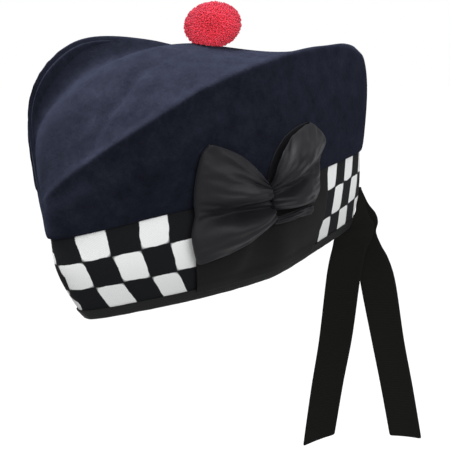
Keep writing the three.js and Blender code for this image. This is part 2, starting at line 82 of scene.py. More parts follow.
# camera at the photograph's viewing angle
cameraView = {
    "azimuth": 60,
    "elevation": 11,
    "distance": 0.600,
    "target": (0, -0.00286, 0.03612),
    "lens": 60.55,
    "sensor": 36,
}


def addCamera(view):
    turn = math.radians(view["azimuth"])
    lift = math.radians(view["elevation"])
    back = Vector((math.sin(turn) * math.cos(lift), -math.cos(turn) * math.cos(lift), math.sin(lift)))
    data = bpy.data.cameras.new("viewCamera")
    data.lens = view["lens"]
    data.sensor_width = view["sensor"]
    camera = bpy.data.objects.new("viewCamera", data)
    camera.location = Vector(view["target"]) + back * view["distance"]
    camera.rotation_euler = (-back).to_track_quat("-Z", "Y").to_euler()
    scene.collection.objects.link(camera)
    scene.camera = camera


addCamera(cameraView)
scene.view_settings.view_transform = "Standard"
print("camera placed")


# materials
def newMaterial(name):
    material = bpy.data.materials.new(name)
    material.use_nodes = True
    tree = material.node_tree
    skin = tree.nodes["Principled BSDF"]
    return material, tree, skin


def addNode(tree, kind, inputs=None, **settings):
    node = tree.nodes.new(kind)
    for key, value in settings.items():
        setattr(node, key, value)
    for key, value in (inputs or {}).items():
        if isinstance(value, bpy.types.NodeSocket):
            tree.links.new(value, node.inputs[key])
        else:
            node.inputs[key].default_value = value
    return node


def addMath(tree, operation, first, second=0.0):
    return addNode(tree, "ShaderNodeMath", {0: first, 1: second}, operation=operation).outputs[0]


def addVector(tree, operation, inputs, output=0):
    return addNode(tree, "ShaderNodeVectorMath", inputs, operation=operation).outputs[output]


def addWave(tree, value, turns):
    return addMath(tree, "SINE", addMath(tree, "MULTIPLY", value, turns))


# from the range -1 to 1 to the range 0 to 1
def toShare(tree, value):
    return addMath(tree, "ADD", addMath(tree, "MULTIPLY", value, 0.5), 0.5)


# the sum of some values, each times its share
def addShares(tree, *parts):
    total = addMath(tree, "MULTIPLY", *parts[0])
    for value, share in parts[1:]:
        total = addMath(tree, "ADD", total, addMath(tree, "MULTIPLY", value, share))
    return total


def addRamp(tree, fac, stops):
    ramp = addNode(tree, "ShaderNodeValToRGB", {"Fac": fac})
    elements = ramp.color_ramp.elements
    elements[0].position, elements[0].color = stops[0][0], (*stops[0][1], 1)
    elements[1].position, elements[1].color = stops[-1][0], (*stops[-1][1], 1)
    for place, colour in stops[1:-1]:
        elements.new(place).color = (*colour, 1)
    return ramp.outputs["Color"]


def addNoise(tree, vector, scale, detail, roughness):
    inputs = {"Vector": vector, "Scale": scale, "Detail": detail, "Roughness": roughness}
    return addNode(tree, "ShaderNodeTexNoise", inputs).outputs["Fac"]


def addBump(tree, height, strength, distance, under=None):
    inputs = {"Height": height, "Strength": strength, "Distance": distance}
    if under is not None:
        inputs["Normal"] = under
    return addNode(tree, "ShaderNodeBump", inputs).outputs["Normal"]


def setSockets(skin, values):
    for name, value in values.items():
        skin.inputs[name].default_value = value


# in the looks: noise is scale, detail and roughness; bump is strength and height; stops are places on a ramp
woolLook = {
    "colours": [(0.0066, 0.0074, 0.0122), (0.0130, 0.0146, 0.0235), (0.023, 0.0258, 0.040)],
    "stops": (0.38, 0.58, 0.72),
    "mottle": {"noise": (75, 5, 0.62), "share": 0.45},
    "fibre": {"noise": (1100, 4, 0.7), "share": 0.35, "bump": (0.45, 0.0005)},
    "nap": {"noise": (320, 3, 0.65), "share": 0.2, "bump": (0.35, 0.0009)},
    "sockets": {
        "Roughness": 0.95,
        "Specular IOR Level": 0.0,
        "Sheen Weight": 0.05,
        "Sheen Roughness": 0.5,
        "Sheen Tint": (0.52, 0.58, 0.95, 1),
    },
}


def woolMaterial(look):
    material, tree, skin = newMaterial("navyMilledWool")
    coord = addNode(tree, "ShaderNodeTexCoord").outputs["Object"]
    mottle = addNoise(tree, coord, *look["mottle"]["noise"])
    fibre = addNoise(tree, coord, *look["fibre"]["noise"])
    nap = addNoise(tree, coord, *look["nap"]["noise"])
    found = {"mottle": mottle, "fibre": fibre, "nap": nap}
    blend = addShares(tree, *[(value, look[name]["share"]) for name, value in found.items()])
    stops = list(zip(look["stops"], look["colours"]))
    tree.links.new(addRamp(tree, blend, stops), skin.inputs["Base Color"])
    bump = addBump(tree, nap, *look["nap"]["bump"])
    bump = addBump(tree, fibre, *look["fibre"]["bump"], bump)
    tree.links.new(bump, skin.inputs["Normal"])
    setSockets(skin, look["sockets"])
    return material


dicingLook = {
    "whites": [(0.74, 0.75, 0.755), (0.84, 0.85, 0.85)],
    "whiteStops": (0.2, 0.5),
    "blacks": [(0.006, 0.0065, 0.0075), (0.013, 0.0135, 0.0155)],
    "blackStops": (0.3, 0.75),
    "drift": {"Scale": 2.3, "Detail": 3},  # unevenness of the check edges
    "wobble": 0.10,
    "edge": 0.06,  # softness of the check edges
    "threads": 13,  # fine ribs to a check, in both directions
    "weaveShare": 0.5,
    "fuzz": {"noise": (900, 4, 0.7), "share": 0.5},
    "grainBump": (0.5, 0.0005),
    "checkBump": (0.35, 0.0006),
    "sockets": {
        "Roughness": 0.9,
        "Specular IOR Level": 0.05,
        "Sheen Weight": 0.03,
        "Sheen Roughness": 0.5,
    },
}


# u counts the checks round the band and v its three rows
def dicingMaterial(look):
    material, tree, skin = newMaterial("wovenDicing")
    checks = addNode(tree, "ShaderNodeUVMap", uv_map="checks").outputs["UV"]
    drift = addNode(tree, "ShaderNodeTexNoise", {"Vector": checks, **look["drift"]}).outputs["Color"]
    shift = addVector(tree, "SUBTRACT", {0: drift, 1: (0.5, 0.5, 0.5)})
    shift = addVector(tree, "SCALE", {0: shift, "Scale": look["wobble"]})
    spot = addNode(tree, "ShaderNodeSeparateXYZ", {0: addVector(tree, "ADD", {0: checks, 1: shift})})
    waveU = addWave(tree, spot.outputs["X"], math.pi)
    waveV = addWave(tree, spot.outputs["Y"], math.pi)
    edge = {"Value": addMath(tree, "MULTIPLY", waveU, waveV), "From Min": 0.0, "From Max": look["edge"]}
    whiteness = addNode(tree, "ShaderNodeMapRange", edge).outputs["Result"]
    turns = 2 * math.pi * look["threads"]
    plain = addNode(tree, "ShaderNodeSeparateXYZ", {0: checks})
    warp = addWave(tree, plain.outputs["X"], turns)
    weft = addWave(tree, plain.outputs["Y"], turns)
    weave = toShare(tree, addMath(tree, "MULTIPLY", warp, weft))
    coord = addNode(tree, "ShaderNodeTexCoord").outputs["Object"]
    fuzz = addNoise(tree, coord, *look["fuzz"]["noise"])
    grain = addShares(tree, (weave, look["weaveShare"]), (fuzz, look["fuzz"]["share"]))
    white = addRamp(tree, grain, list(zip(look["whiteStops"], look["whites"])))
    black = addRamp(tree, grain, list(zip(look["blackStops"], look["blacks"])))
    mixed = addNode(tree, "ShaderNodeMix", {0: whiteness, 6: black, 7: white}, data_type="RGBA").outputs[2]
    tree.links.new(mixed, skin.inputs["Base Color"])
    bump = addBump(tree, grain, *look["grainBump"])
    bump = addBump(tree, whiteness, *look["checkBump"], bump)
    tree.links.new(bump, skin.inputs["Normal"])
    setSockets(skin, look["sockets"])
    return material


# what all the ribbons share
ribbonWeave = {
    "stops": (0.32, 0.7),
    "worn": {"detail": (4, 0.6), "share": 0.6, "low": 0.3, "high": 0.7},
    "thread": {"noise": (1500, 3, 0.7), "share": 0.25, "bump": (0.2, 0.0002)},
    "ribShare": 0.15,
    "ribHeight": 0.0003,
    "sockets": {"Sheen Roughness": 0.35, "Sheen Tint": (0.9, 0.92, 1.0, 1)},
}


# ribs run across the ribbon; the uv map is in metres, v along the ribbon
def ribbonMaterial(name, look, weave):
    material, tree, skin = newMaterial(name)
    cloth = addNode(tree, "ShaderNodeUVMap", uv_map="cloth").outputs["UV"]
    along = addNode(tree, "ShaderNodeSeparateXYZ", {0: cloth}).outputs["Y"]
    ribs = toShare(tree, addWave(tree, along, 2 * math.pi / look["rib"]))
    coord = addNode(tree, "ShaderNodeTexCoord").outputs["Object"]
    worn = addNoise(tree, coord, look["wornScale"], *weave["worn"]["detail"])
    thread = addNoise(tree, coord, *weave["thread"]["noise"])
    shares = [(worn, weave["worn"]["share"]), (thread, weave["thread"]["share"]), (ribs, weave["ribShare"])]
    tone = addShares(tree, *shares)
    stops = list(zip(weave["stops"], look["colours"]))
    tree.links.new(addRamp(tree, tone, stops), skin.inputs["Base Color"])
    span = {"Value": worn, "From Min": weave["worn"]["low"], "From Max": weave["worn"]["high"]}
    span.update({"To Min": look["rough"][0], "To Max": look["rough"][1]})
    rough = addNode(tree, "ShaderNodeMapRange", span).outputs["Result"]
    tree.links.new(rough, skin.inputs["Roughness"])
    bump = addBump(tree, ribs, look["ribDepth"], weave["ribHeight"])
    bump = addBump(tree, thread, *weave["thread"]["bump"], bump)
    tree.links.new(bump, skin.inputs["Normal"])
    setSockets(skin, weave["sockets"])
    setSockets(skin, look["sockets"])
    return material


bowRibbonLook = {
    "colours": [(0.0070, 0.0070, 0.0083), (0.0142, 0.0143, 0.0168)],
    "rib": 0.0009,
    "ribDepth": 0.25,
    "wornScale": 60,
    "rough": (0.5, 0.62),
    "sockets": {"Specular IOR Level": 0.14, "Sheen Weight": 0.05},
}
# the backing is the bow's own ribbon; its darker colours are painted shade from lying under the bow
shadedBackingLook = {
    "colours": [(0.0042, 0.0042, 0.0044), (0.0075, 0.0075, 0.0078)],
    "rib": 0.0009,
    "ribDepth": 0.25,
    "wornScale": 60,
    "rough": (0.6, 0.72),
    "sockets": {"Specular IOR Level": 0.08, "Sheen Weight": 0.02},
}
tailRibbonLook = {
    "colours": [(0.0032, 0.0032, 0.0028), (0.0062, 0.0062, 0.0054)],
    "rib": 0.0011,
    "ribDepth": 0.4,
    "wornScale": 45,
    "rough": (0.65, 0.78),
    "sockets": {"Specular IOR Level": 0.07, "Sheen Weight": 0.02},
}
bindingLook = {
    "colours": [(0.0055, 0.0057, 0.0058), (0.0115, 0.0118, 0.0118)],
    "rib": 0.0014,
    "ribDepth": 0.55,
    "wornScale": 110,
    "rough": (0.55, 0.7),
    "sockets": {"Specular IOR Level": 0.1, "Sheen Weight": 0.02},
}
yarnLook = {
    # the root colour is darker as painted shade deep among the strands; middle and tip are the yarn's own
    # red
    "colours": [(0.43, 0.017, 0.027), (0.52, 0.021, 0.033), (0.53, 0.022, 0.037)],  # root, middle and tip
    "stops": (0.1, 0.5, 0.95),
    "rootShadeShare": 0.7,
    "tuft": {"noise": (260, 3, 0.6), "share": 0.3},
    "fibre": {"noise": (2200, 2, 0.6), "share": 0.1, "bump": (0.3, 0.0003)},
    "sockets": {
        "Roughness": 0.95,
        "Specular IOR Level": 0.1,
        "Sheen Weight": 0.05,
        "Sheen Tint": (1.0, 0.45, 0.5, 1),
        "Subsurface Weight": 0.6,
        "Subsurface Radius": (1.0, 0.3, 0.3),
        "Subsurface Scale": 0.012,
    },
}


def yarnMaterial(look):
    material, tree, skin = newMaterial("redYarn")
    coord = addNode(tree, "ShaderNodeTexCoord").outputs["Object"]
    # low tip values at the roots and the head give the darker colour: painted shade under the yarn ends
    tip = addNode(tree, "ShaderNodeAttribute", attribute_name="tip").outputs["Fac"]
    tuft = addNoise(tree, coord, *look["tuft"]["noise"])
    fibre = addNoise(tree, coord, *look["fibre"]["noise"])
    shares = [(tip, look["rootShadeShare"]), (tuft, look["tuft"]["share"]), (fibre, look["fibre"]["share"])]
    tone = addShares(tree, *shares)
    stops = list(zip(look["stops"], look["colours"]))
    tree.links.new(addRamp(tree, tone, stops), skin.inputs["Base Color"])
    tree.links.new(addBump(tree, fibre, *look["fibre"]["bump"]), skin.inputs["Normal"])
    setSockets(skin, look["sockets"])
    return material


woolSkin = woolMaterial(woolLook)
dicingSkin = dicingMaterial(dicingLook)
bowSkin = ribbonMaterial("bowRibbon", bowRibbonLook, ribbonWeave)
# a darker copy of the bow's ribbon: painted shade under the bow
shadedBackingSkin = ribbonMaterial("backingRibbonShaded", shadedBackingLook, ribbonWeave)
tailSkin = ribbonMaterial("tailRibbon", tailRibbonLook, ribbonWeave)
bindingSkin = ribbonMaterial("bindingRibbon", bindingLook, ribbonWeave)
yarnSkin = yarnMaterial(yarnLook)
print("materials made")


# shared steps for the pieces
def addPiece(name, bm, material, slotName, *standsFor):
    mesh = bpy.data.meshes.new(name)
    bm.to_mesh(mesh)
    bm.free()
    mesh.shade_smooth()
    mesh.materials.append(material)
    piece = bpy.data.objects.new(name, mesh)
    scene.collection.objects.link(piece)
    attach(piece, "root")
    if standsFor:
        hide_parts(*standsFor)
    return piece


def addThickness(piece, settings):
    solid = piece.modifiers.new("thickness", "SOLIDIFY")
    solid.thickness = settings["thickness"] * mm
    solid.offset = 0
    smooth = piece.modifiers.new("smooth", "SUBSURF")
    smooth.levels = settings["levels"]
    smooth.render_levels = settings["levels"]


mergeSettings = {"apart": 0.01, "angle": 50}


# a copy of a CAD node with its triangles joined to quads
def mergedCopy(node):
    bm = bmesh.new()
    bm.from_mesh(nodes[node].data)
    bmesh.ops.remove_doubles(bm, verts=bm.verts, dist=mergeSettings["apart"] * mm)
    bmesh.ops.join_triangles(
        bm,
        faces=bm.faces,
        angle_face_threshold=math.radians(mergeSettings["angle"]),
        angle_shape_threshold=math.radians(mergeSettings["angle"]),
    )
    bm.normal_update()
    return bm


# a subdivided copy that still passes through the points it starts from
def subdivided(bm, levels, tries=4):
    wanted = [v.co.copy() for v in bm.verts]
    for attempt in range(tries):
        mesh = bpy.data.meshes.new("subdividing")
        bm.to_mesh(mesh)
        holder = bpy.data.objects.new("subdividing", mesh)
        scene.collection.objects.link(holder)
        modifier = holder.modifiers.new("smooth", "SUBSURF")
        modifier.levels = levels
        modifier.render_levels = levels
        bpy.context.view_layer.update()
        fine = bpy.data.meshes.new_from_object(holder.evaluated_get(bpy.context.evaluated_depsgraph_get()))
        bpy.data.objects.remove(holder)
        bpy.data.meshes.remove(mesh)
        if attempt < tries - 1:
            for v, target in zip(bm.verts, wanted):
                v.co += target - fine.vertices[v.index].co
            bpy.data.meshes.remove(fine)
    bm.clear()
    bm.from_mesh(fine)
    bpy.data.meshes.remove(fine)
    bm.normal_update()
    return bm


# a flat grid from -0.5 to 0.5 both ways, with a uv map in metres
def clothGrid(settings, cloth):
    bm = bmesh.new()
    columns, rows = settings["grid"]
    bmesh.ops.create_grid(bm, x_segments=columns, y_segments=rows, size=0.5)
    layer = bm.loops.layers.uv.new("cloth")
    for face in bm.faces:
        for loop in face.loops:
            loop[layer].uv = (loop.vert.co.x * cloth[0], loop.vert.co.y * cloth[1])
    return bm


def joinInto(bm, extra):
    mesh = bpy.data.meshes.new("joining")
    extra.to_mesh(mesh)
    extra.free()
    bm.from_mesh(mesh)
    bpy.data.meshes.remove(mesh)


# 1 for a face on the cap's left, -1 for one on its right
def sideOf(face):
    return 1 if inCap(face.calc_center_median()).x >= 0 else -1


# wool crown: the solid's own shape, softened, with the crease down its top and a soft roll on the left ridge
crownSettings = {
    "levels": 2,
    # the crease on the top, from near the front to the toorie
    "crease": [
        {"along": 107, "left": 26, "depth": 0.5},
        {"along": 88, "left": 24, "depth": 3.0},
        {"along": 68, "left": 21.5, "depth": 3.2},
        {"along": 54, "left": 17, "depth": 2.8},
        {"along": 28, "left": 15, "depth": 1.6},
        {"along": 14, "left": 11, "depth": 0.2},
    ],
    "creaseWidth": 3.6,
    # the left ridge, where the cloth folds over in a soft roll
    "ridge": [
        {"along": 133.5, "left": 0, "rise": 92.5, "depth": 0.4},
        {"along": 129, "left": 8, "rise": 98.5, "depth": 1.7},
        {"along": 116, "left": 19, "rise": 108.5, "depth": 2.7},
        {"along": 95, "left": 35, "rise": 120.5, "depth": 3.1},
        {"along": 66, "left": 55, "rise": 135.5, "depth": 3.1},
        {"along": 33, "left": 64, "rise": 148.5, "depth": 2.6},
        {"along": -4, "left": 63, "rise": 155.5, "depth": 1.3},
        {"along": -41, "left": 55, "rise": 158.5, "depth": 0.3},
    ],
    "ridgeWidth": 3.9,
    "ridgeWay": (0.82, 0, 0.57),
    "ripple": 0.7,  # soft unevenness of the cloth
    "rippleSize": 34,
    "rippleFrom": 18,  # it grows over this height above the hem
    "topFacing": (0.2, 0.5),  # how far up a face looks before it is the top
    "topRise": (95, 115),
}


# distance from a line of the cap and the line's depth at the nearest place
def nearestOnLine(line, spot, names):
    best = (math.inf, 0.0)
    for a, b in zip(line, line[1:]):
        start = Vector([a[name] for name in names])
        run = Vector([b[name] for name in names]) - start
        part = min(1.0, max(0.0, (spot - start).dot(run) / run.length_squared))
        far = (spot - start - run * part).length
        if far < best[0]:
            best = (far, a["depth"] + part * (b["depth"] - a["depth"]))
    return best


def shapeCrown(bm, settings):
    moves = {}
    for v in bm.verts:
        spot = inCap(v.co)
        facing = capUnturn @ v.normal
        far, depth = nearestOnLine(settings["crease"], Vector((-spot.y, spot.x)), ("along", "left"))
        onTop = ease(*settings["topFacing"], abs(facing.z)) * ease(*settings["topRise"], spot.z)
        drop = -depth * onTop * math.exp(-((far / settings["creaseWidth"]) ** 2))
        wave = noise.noise(spot / settings["rippleSize"]) * settings["ripple"]
        awayFromHem = ease(hemRise, hemRise + settings["rippleFrom"], spot.z)
        side = math.copysign(1, spot.x) * abs(facing.x) * wave * awayFromHem
        move = Vector((side, 0, drop + wave * abs(facing.z) * awayFromHem))
        place = Vector((-spot.y, spot.x, spot.z))
        far, depth = nearestOnLine(settings["ridge"], place, ("along", "left", "rise"))
        move += Vector(settings["ridgeWay"]) * depth * math.exp(-((far / settings["ridgeWidth"]) ** 2))
        moves[v] = capTurn @ (move * mm)
    for v, move in moves.items():
        v.co += move


crownMesh = subdivided(mergedCopy("crown"), crownSettings["levels"])
shapeCrown(crownMesh, crownSettings)
crownTree = BVHTree.FromBMesh(crownMesh)
addPiece("woolCrown", crownMesh, woolSkin, "wool", "crown")
print("wool crown shaped")


# diced band: its uv map counts the checks round the cap and up the band
bandSettings = {
    "levels": 2,
    "rings": (2.5, 9.2, 27.3, 48.9, 70.7, 75.5),  # heights of the solid's rings
    "rowBreaks": (5.7, 27.4, 49.0, 70.7),
    "endShare": 0.2,  # weight of the ends when the outer side of a ring is picked
    "middleSlack": 0.01,
    "firstEdge": 4.4,  # a check edge this far left of the front
    "firstCheck": -1,  # the number of the check there
    "checkWidth": 20.24,
    "backFrom": 227,
    "backWidth": 15.7,
    # how far the columns lean to the back at each break
    "leftLeans": (-23, -10, 4, 10),
    "rightLeans": (-23, -9, 0, 0),
    "leanFrom": (40, 220),
    "frontShift": 4.6,  # the top row's first check is wider by this much
    "frontReach": (25, 60),
    "frontRise": (41, 70.7),
    # the band hangs at the rim beside the bow and arches at the hem
    "bowed": {
        "middle": 4,
        "reach": 133,
        "place": 0.12,
        "spread": 0.8,
        "hang": 3,
        "arch": 3,
        "archEnds": -3.5,
        "tries": 5,
    },
}


# the height that a point of the band would have without its hang and arch
def levelRise(spot, bowed):
    place = -(spot.y - bowed["middle"]) / bowed["reach"]
    away = (place - bowed["place"]) / bowed["spread"]
    hang = bowed["hang"] * max(0.0, 1 - away * away) ** 2
    arch = bowed["arch"] + (bowed["archEnds"] - bowed["arch"]) * place * place
    rise = spot.z
    for attempt in range(bowed["tries"]):
        height = min(1.0, max(0.0, rise / hemRise))
        rise = spot.z - arch * height**2 + hang * (1 - height) ** 2
    return rise


# distances round the band from the front, ring by ring, as measured on the solid
def bandRuler(bm, settings):
    rings = {rise: [] for rise in settings["rings"]}
    for v in bm.verts:
        spot = inCap(v.co)
        out = capUnturn @ v.normal
        outward = out.x * spot.x + out.y * spot.y * settings["endShare"]
        if outward > 0 and spot.x > -settings["middleSlack"]:
            level = levelRise(spot, settings["bowed"])
            rings[min(rings, key=lambda rise: abs(rise - level))].append(spot)
    ruler = []
    for rise in sorted(rings):
        line = sorted(rings[rise], key=lambda spot: spot.y)
        middle = (line[0].y + line[-1].y) / 2
        reach = (line[-1].y - line[0].y) / 2
        lengths = [0.0]
        for a, b in zip(line, line[1:]):
            lengths.append(lengths[-1] + (b - a).length)
        places = [(spot.y - middle) / reach for spot in line]
        ring = {"rise": rise, "middle": middle, "reach": reach, "places": places, "lengths": lengths}
        ruler.append(ring)
    return ruler


def roundBand(ruler, back, rise):
    upper = next((i for i, ring in enumerate(ruler) if ring["rise"] >= rise), len(ruler) - 1)
    pair = (ruler[max(upper, 1) - 1], ruler[max(upper, 1)])
    share = (rise - pair[0]["rise"]) / (pair[1]["rise"] - pair[0]["rise"])
    found = [np.interp((back - r["middle"]) / r["reach"], r["places"], r["lengths"]) for r in pair]
    return found[0] + share * (found[1] - found[0])


def checkSpot(settings, around, rise, side):
    breaks = settings["rowBreaks"]
    leans = settings["leftLeans"] if side > 0 else settings["rightLeans"]
    lean = np.interp(rise, breaks, leans) * ease(*settings["leanFrom"], around)
    straight = side * (around - lean)
    nearFront = 1 - ease(*settings["frontReach"], around)
    straight += settings["frontShift"] * ease(*settings["frontRise"], rise) * nearFront
    backFrom = settings["backFrom"]
    u = settings["firstCheck"] + (min(straight, backFrom) - settings["firstEdge"]) / settings["checkWidth"]
    if straight > backFrom:
        u += (straight - backFrom) / settings["backWidth"]
    row = sum(rise > b for b in breaks[1:3])
    v = row + (rise - breaks[row]) / (breaks[row + 1] - breaks[row])
    return u, v


def mapChecks(bm, ruler, settings):
    layer = bm.loops.layers.uv.new("checks")
    for face in bm.faces:
        side = sideOf(face)
        for loop in face.loops:
            spot = inCap(loop.vert.co)
            rise = levelRise(spot, settings["bowed"])
            loop[layer].uv = checkSpot(settings, roundBand(ruler, spot.y, rise), rise, side)


bandMesh = mergedCopy("diced_band")
bandRings = bandRuler(bandMesh, bandSettings)
bandMesh = subdivided(bandMesh, bandSettings["levels"])
mapChecks(bandMesh, bandRings, bandSettings)
bandTree = BVHTree.FromBMesh(bandMesh)
bandPiece = addPiece("dicedBand", bandMesh, dicingSkin, "dicing", "diced_band")
print("diced band mapped,", len(bandRings), "rings")


# rim binding: the folded ribbon, its corners rounded and a little puckered
bindingSettings = {
    "longEdge": 6,  # longer edges are cut in three
    "cuts": 2,
    "sharp": 35,  # corners of more degrees are rounded
    "bevel": 0.45,
    "bevelSteps": 2,
    "pucker": 0.25,
    "puckerSize": (9, 12),  # round the rim and up it
    "puckerSlice": 3,  # where the noise is read
    "lowest": 2.5,
}


# distance from the front round the rim
def roundRim(spot, settings):
    return roundBand(bandRings, spot.y, max(spot.z, settings["lowest"]))


def roundCorners(bm, settings):
    longEdges = [e for e in bm.edges if e.calc_length() > settings["longEdge"] * mm]
    bmesh.ops.subdivide_edges(bm, edges=longEdges, cuts=settings["cuts"], use_grid_fill=True)
    sharp = math.radians(settings["sharp"])
    bmesh.ops.bevel(
        bm,
        geom=[e for e in bm.edges if len(e.link_faces) == 2 and e.calc_face_angle() > sharp],
        offset=settings["bevel"] * mm,
        affect="EDGES",
        segments=settings["bevelSteps"],
        profile=0.5,
        material=-1,
    )


def puckerBinding(bm, settings):
    sizeRound, sizeUp = settings["puckerSize"]
    for v in bm.verts:
        spot = inCap(v.co)
        around = roundRim(spot, settings) * math.copysign(1, spot.x)
        place = Vector((around / sizeRound, spot.z / sizeUp, settings["puckerSlice"]))
        pucker = noise.noise(place) * settings["pucker"]
        v.co += v.normal * pucker * mm


def mapBinding(bm, settings):
    layer = bm.loops.layers.uv.new("cloth")
    for face in bm.faces:
        side = sideOf(face)
        for loop in face.loops:
            spot = inCap(loop.vert.co)
            loop[layer].uv = (spot.z * mm, side * roundRim(spot, settings) * mm)


bindingMesh = mergedCopy("rim_binding")
roundCorners(bindingMesh, bindingSettings)
puckerBinding(bindingMesh, bindingSettings)
mapBinding(bindingMesh, bindingSettings)
bindingPiece = addPiece("rimBinding", bindingMesh, bindingSkin, "binding_ribbon", "rim_binding")
print("rim binding rounded")


# the left face of the cap, clear of the hem, for what lies on it
hemStep = 2.8
rayStart = 200  # well to the left of the cap


def leftFace(back, rise):
    start = inWorld(rayStart, back, rise)
    toRight = Vector((-1, 0, 0))
    hit = crownTree.ray_cast(start, toRight)[0] if rise > hemRise + 1 else None
    if hit is not None:
        return hit.x / mm
    hit = bandTree.ray_cast(start, toRight)[0]
    return hit.x / mm + hemStep if hit is not None else 0.0


# bow backing: the ribbon under the loops, laid over the band and the binding's upper edge
bowMiddle = {"along": -9, "rise": 68}
backingSettings = {
    "grid": (44, 26),
    "cloth": (0.11, 0.06),
    "levels": 1,
    # its edges level by level, as shares of the band's half length ahead of its middle
    "edges": [
        {"rise": 4.2, "front": 0.399, "back": -0.437},
        {"rise": 27.3, "front": 0.383, "back": -0.49},
        {"rise": 48.9, "front": 0.3665, "back": -0.532},
        {"rise": 69.8, "front": 0.351, "back": -0.538},
    ],
    "lift": 1.3,
    "lapLift": 2.5,  # where it laps the binding
    "lap": (10.2, 14.5),
    "thickness": 0.8,
    "freeRise": 14,  # the folds grow over this height from the lower edge
    "freeReach": (8, 30),  # and over this distance from the bow's middle
    "bound": 0.2,  # share of a fold that is left where it is held
    # folds that fan out from the bow's middle, by angle from straight ahead
    "folds": [
        {"angle": -30, "stand": 0.4},
        {"angle": -45, "stand": 2.6},
        {"angle": -58, "stand": 3.4},
        {"angle": -70, "stand": 0.6},
        {"angle": -84, "stand": 0.2},
        {"angle": -100, "stand": 2.4},
        {"angle": -120, "stand": 1.0},
        {"angle": -140, "stand": 0.2},
    ],
}


def addBacking(settings):
    bm = clothGrid(settings, settings["cloth"])
    stand = column(settings["folds"], "stand")
    angles = [row["angle"] for row in settings["folds"]]
    edges = settings["edges"]
    low, high = edges[0]["rise"], edges[-1]["rise"]
    edgeRises = [row["rise"] for row in edges]
    ringRises = [ring["rise"] for ring in bandRings]
    for v in bm.verts:
        across, up = v.co.x + 0.5, v.co.y + 0.5
        rise = low + (high - low) * up
        front = np.interp(rise, edgeRises, [row["front"] for row in edges])
        back = np.interp(rise, edgeRises, [row["back"] for row in edges])
        middle = np.interp(rise, ringRises, [ring["middle"] for ring in bandRings])
        reach = np.interp(rise, ringRises, [ring["reach"] for ring in bandRings])
        along = -middle + reach * (front + (back - front) * across)
        angle = math.degrees(math.atan2(rise - bowMiddle["rise"], along - bowMiddle["along"]))
        angle = min(angles[0], max(angles[-1], angle))
        share = np.interp(-angle, [-a for a in angles], range(len(angles))) / (len(angles) - 1)
        far = math.hypot(rise - bowMiddle["rise"], along - bowMiddle["along"])
        free = ease(low, low + settings["freeRise"], rise) * ease(*settings["freeReach"], far)
        flat = settings["lapLift"] + (settings["lift"] - settings["lapLift"]) * ease(*settings["lap"], rise)
        lift = flat + stand(share) * (settings["bound"] + (1 - settings["bound"]) * free)
        v.co = inWorld(leftFace(-along, rise) - hemStep + lift, -along, rise)
    bmesh.ops.recalc_face_normals(bm, faces=bm.faces)
    piece = addPiece("bowBacking", bm, shadedBackingSkin, "bow_ribbon", "bow_backing")
    addThickness(piece, settings)


addBacking(backingSettings)
print("bow backing laid")


# bow: loops of ribbon gathered in the middle; each row is a pleat: the angle of its folded end from straight
# ahead, how far it has turned from there at the gather, the reach of its end, how far it puffs and how high
# up the gather it starts
bowSettings = {
    "grid": (48, 56),
    "cloth": (0.075, 0.13),
    "levels": 1,
    "clear": 0.8,
    "leastLift": 0.4,
    "base": 4.0,
    "gather": -0.9,  # the loops meet and overlap a little in the middle
    "thickness": 0.7,
    "topEnd": 0.47,  # shares of a pleat's run where its top ends and its fold ends
    "foldEnd": 0.56,
    "puffFrom": 0.06,  # part of a half wave that the top follows
    "puffRun": 0.86,
    "puffLean": 0.8,
    "pinchFade": 1.3,
    "pleatDepth": 1.6,
    "pleatFade": 16,  # the fine pleats fade over this distance from the gather
    "wrinkle": 1.9,
    "wrinkleFrom": (4, 20),
    # wrinkles: sizes in degrees round the bow and mm out, and where the noise is read
    "crease": {"size": (8, 30), "slice": 1.7, "level": 0.4, "depth": 2},
    "crumple": {"size": (4, 11), "slice": 5, "share": 0.7},
    "underShare": 0.2,  # the underside has this share of the pleats and wrinkles
    "loops": {
        "front": {
            "pleats": [
                {"angle": 49, "turn": 16, "reach": 61.5, "puff": 3, "pinch": 6},
                {"angle": 41, "turn": 16, "reach": 62, "puff": 8, "pinch": 6},
                {"angle": 31, "turn": 14, "reach": 59, "puff": 10, "pinch": 6},
                {"angle": 22, "turn": 6, "reach": 57, "puff": 13, "pinch": 5},
                {"angle": 11, "turn": 0, "reach": 55.5, "puff": 18, "pinch": 3},
                {"angle": 1, "turn": 0, "reach": 54, "puff": 4, "pinch": -3},
                {"angle": -6, "turn": 0, "reach": 56, "puff": 0, "pinch": -8},
                {"angle": -15, "turn": -2, "reach": 62, "puff": 15, "pinch": -12},
                {"angle": -25, "turn": -8, "reach": 66, "puff": 12, "pinch": -16},
                {"angle": -33, "turn": -12, "reach": 69, "puff": 3, "pinch": -19},
            ],
            "fine": 8,
        },
        "back": {
            "pleats": [
                {"angle": 202, "turn": 2, "reach": 47, "puff": 4, "pinch": -10},
                {"angle": 192, "turn": 2, "reach": 50, "puff": 13, "pinch": -7},
                {"angle": 180, "turn": 2, "reach": 52, "puff": 12, "pinch": -3},
                {"angle": 168, "turn": -2, "reach": 57, "puff": 3, "pinch": 2},
                {"angle": 158, "turn": -10, "reach": 68, "puff": 15, "pinch": 5},
                {"angle": 148, "turn": -24, "reach": 67, "puff": 12, "pinch": 6},
                {"angle": 139, "turn": -36, "reach": 64, "puff": 5, "pinch": 7},
            ],
            "fine": 6,
        },
        "low": {
            "pleats": [
                {"angle": 214, "turn": 6, "reach": 46, "puff": 1, "pinch": -21},
                {"angle": 210, "turn": 4, "reach": 47, "puff": 2, "pinch": -20},
                {"angle": 206, "turn": 2, "reach": 46, "puff": 1, "pinch": -18},
            ],
            "fine": 3,
        },
    },
}


